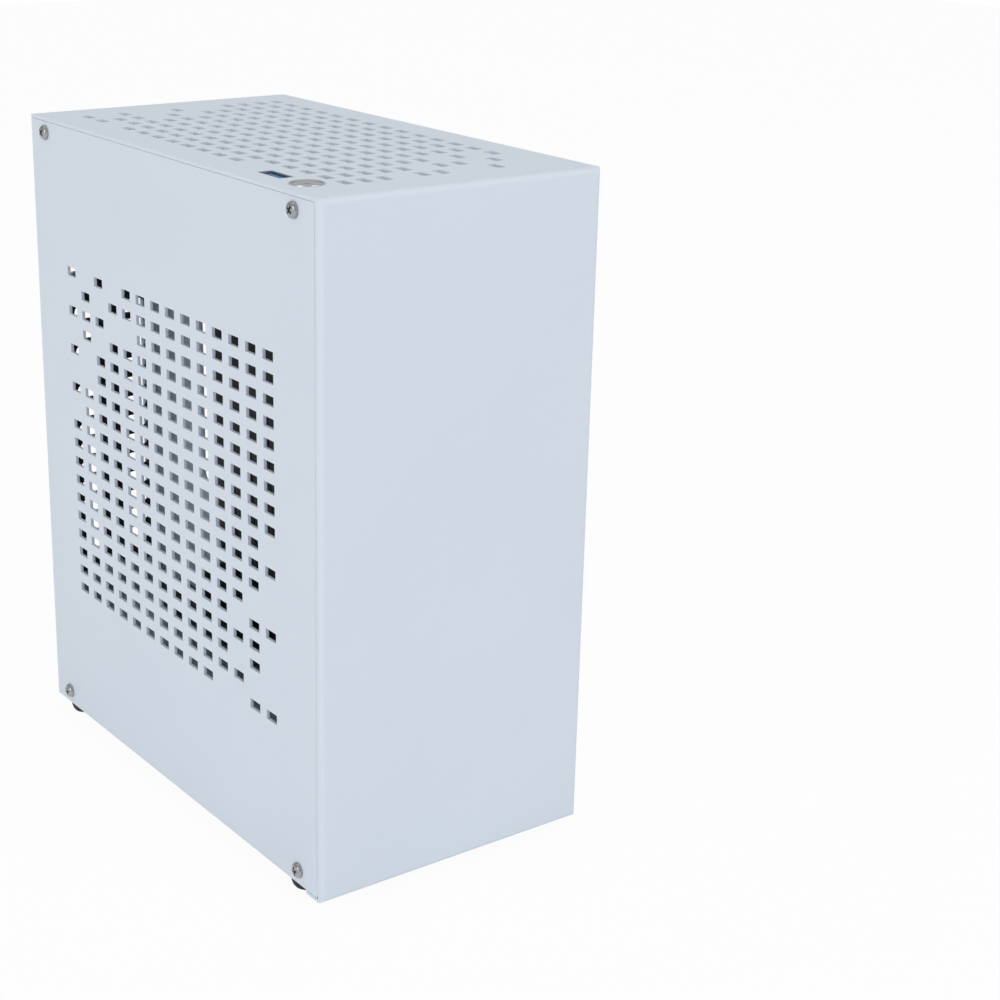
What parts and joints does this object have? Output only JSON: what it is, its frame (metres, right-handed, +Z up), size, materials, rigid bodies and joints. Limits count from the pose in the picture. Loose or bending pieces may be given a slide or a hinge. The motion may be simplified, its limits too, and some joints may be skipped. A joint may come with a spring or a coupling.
{
  "type": "mini itx computer case",
  "caption": "Small upright white sheet steel computer case with perforated side panels, a plain front, a top power button and a flexible graphics riser inside.",
  "frame": {"origin": "on the ground under the middle of the case, below the soles of the feet", "axes": "+Z up, -Y towards the plain front, -X towards the card side shown in the picture"},
  "size_m": [0.1178, 0.2068, 0.2514],
  "materials": {
    "white_paint": "fine matt powder coat, cool white, on sheet steel",
    "zinc_steel": "bright zinc plate",
    "brass": "turned brass, unlacquered",
    "black_paint": "matt black paint on punched steel",
    "rubber": "moulded black rubber",
    "satin_aluminium": "turned and satin anodised",
    "lens": "frosted grey plastic",
    "black_plastic": "moulded black plastic, fine grain",
    "cable_jacket": "soft black jacket",
    "nickel_shell": "nickel plated sheet",
    "blue_plastic": "moulded blue plastic",
    "gold_contacts": "gold plated contacts",
    "circuit_board": "black solder mask over glass laminate",
    "ribbon_jacket": "black foil jacket",
    "black_screws": "black oxide"
  },
  "bodies": {
    "case": {"front_top_cover": "white_paint", "floor_tray": "white_paint", "upper_frame": "white_paint", "rear_panel": "white_paint", "divider": "white_paint", "psu_bridge": "white_paint", "slot_bracket": "white_paint", "lip_screws": "zinc_steel", "frame_rivets": "zinc_steel", "slot_cover_screws": "zinc_steel", "foot_screws": "zinc_steel", "port_bracket": "zinc_steel", "port_screws": "zinc_steel", "button_nut": "zinc_steel", "button_spring": "zinc_steel", "riser_posts": "zinc_steel", "riser_screws": "zinc_steel", "riser_pins": "zinc_steel", "board_standoffs": "brass", "slot_cover_inner": "black_paint", "slot_cover_outer": "black_paint", "foot_front_left": "rubber", "foot_front_right": "rubber", "foot_rear_left": "rubber", "foot_rear_right": "rubber", "button_ring": "satin_aluminium", "switch_body": "black_plastic", "switch_plug": "black_plastic", "usb_plug": "black_plastic", "cable_clips": "black_plastic", "riser_slot": "black_plastic", "riser_clamp": "black_plastic", "plug_clamp": "black_plastic", "switch_cable": "cable_jacket", "usb_cable": "cable_jacket", "usb_shell": "nickel_shell", "usb_tongue": "blue_plastic", "usb_contacts": "gold_contacts", "port_board": "circuit_board", "riser_board": "circuit_board", "plug_board": "circuit_board", "plug_fingers": "circuit_board", "ribbon_1": "ribbon_jacket", "ribbon_2": "ribbon_jacket", "ribbon_3": "ribbon_jacket", "ribbon_4": "ribbon_jacket", "ribbon_5": "ribbon_jacket", "ribbon_6": "ribbon_jacket", "plug_screws": "black_screws"},
    "left_side": {"left_panel": "white_paint", "left_panel_screws": "zinc_steel"},
    "right_side": {"right_panel": "white_paint", "right_panel_screws": "zinc_steel"},
    "power_button": {"button_cap": "satin_aluminium", "button_lens": "lens"},
    "card_latch": {"riser_latch": "black_plastic"}
  },
  "joints": [
    {"name": "left_panel_off", "type": "slide", "parent": "case", "child": "left_side", "axis": [-1, 0, 0], "range_m": [0, 0.08]},
    {"name": "right_panel_off", "type": "slide", "parent": "case", "child": "right_side", "axis": [1, 0, 0], "range_m": [0, 0.08]},
    {"name": "power_button_press", "type": "slide", "parent": "case", "child": "power_button", "axis": [0, 0, -1], "range_m": [0, 0.0012], "stiffness_N_per_m": 800, "springref_m": -0.001, "deforming": ["button_spring"]},
    {"name": "card_latch_turn", "type": "hinge", "parent": "case", "child": "card_latch", "pos_m": [-0.0158, -0.0496, 0.0683], "axis": [1, 0, 0], "range_deg": [0, 30]}
  ]
}
